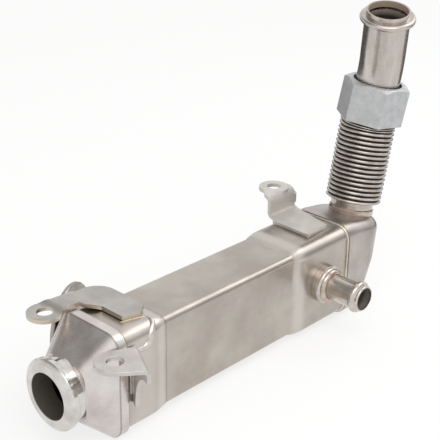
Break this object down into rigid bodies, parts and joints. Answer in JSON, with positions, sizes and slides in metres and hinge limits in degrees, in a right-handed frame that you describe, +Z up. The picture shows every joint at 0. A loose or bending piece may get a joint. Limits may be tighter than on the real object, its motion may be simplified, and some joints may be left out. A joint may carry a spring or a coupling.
{
  "type": "egr cooler",
  "caption": "Exhaust gas cooler: rectangular stainless shell round a flat tube stack, clamp flange inlet, scoop outlet with bellows and union nut, coolant ports and folded brackets.",
  "frame": {"origin": "centre of the inlet flange's sealing face", "axes": "+X along the shell from the gas inlet to the outlet end, +Z up towards the outlet pipe, +Y to the coolant flange's side"},
  "size_m": [0.2883, 0.1009, 0.1932],
  "materials": {
    "shell_steel": "satin brushed stainless sheet",
    "formed_steel": "deep-drawn stainless sheet, satin",
    "turned_steel": "turned bright stainless",
    "bellows_steel": "thin rolled stainless, bright",
    "brazed_steel": "stainless with brown brazing tint",
    "nut_steel": "zinc plated, matte",
    "bracket_steel": "rolled stainless plate, matte",
    "inner_steel": "brazed stainless, dull"
  },
  "bodies": {
    "cooler": {"inlet_flange": "turned_steel", "inlet_diffuser": "formed_steel", "shell": "shell_steel", "front_tube_plate": "inner_steel", "rear_tube_plate": "inner_steel", "gas_tubes": "inner_steel", "gas_fins": "inner_steel", "baffle_plates": "inner_steel", "outlet_cap": "formed_steel", "outlet_neck": "brazed_steel", "neck_ring": "brazed_steel", "bellows": "bellows_steel", "outlet_tube": "turned_steel", "tube_ferrule": "inner_steel", "spigot_boss": "formed_steel", "spigot_ring": "brazed_steel", "coolant_spigot": "turned_steel", "coolant_neck": "formed_steel", "coolant_flange": "formed_steel", "front_top_bracket": "bracket_steel", "side_bracket": "bracket_steel", "rear_top_bracket": "bracket_steel"},
    "nut": {"union_nut": "nut_steel"}
  },
  "joints": [
    {"name": "nut_spin", "type": "hinge", "parent": "cooler", "child": "nut", "pos_m": [0.26721, -0.00266, 0.11146], "axis": [0.112, -0.118, 0.9867], "continuous": true}
  ]
}
